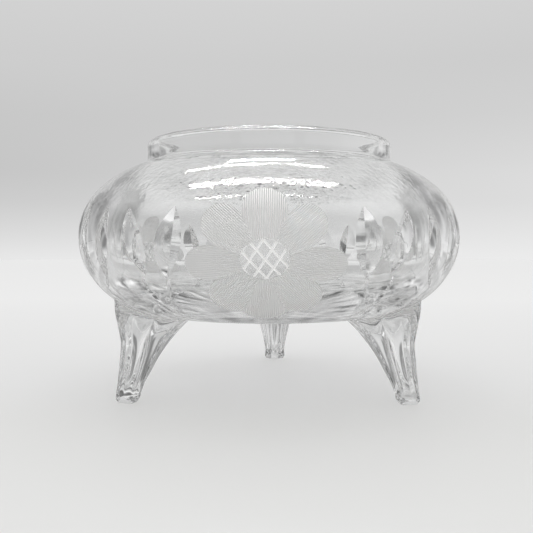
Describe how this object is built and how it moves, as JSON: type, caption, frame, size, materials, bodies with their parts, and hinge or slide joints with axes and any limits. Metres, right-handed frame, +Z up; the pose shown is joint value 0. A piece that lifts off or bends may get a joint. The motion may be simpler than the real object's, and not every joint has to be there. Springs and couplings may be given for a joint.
{
  "type": "footed cut-glass bowl",
  "caption": "Squat round cut-crystal bowl with a short straight collar, mitre-cut leaves and shallow cut flowers, standing on fluted solid glass feet.",
  "frame": {"origin": "on the bowl's axis, on the surface that its feet stand on", "axes": "+Z up along the bowl's axis, out of its mouth; -Y is the front, towards a cut flower midway between two feet; +X is to the right seen from the front"},
  "size_m": [0.15, 0.1497, 0.0983],
  "materials": {
    "crystal": "polished colourless crystal, with fine matt hatching in the cut petals"
  },
  "bodies": {
    "root": {"bowl_body": "crystal", "foot_front_right": "crystal", "foot_rear": "crystal", "foot_front_left": "crystal"}
  },
  "joints": []
}
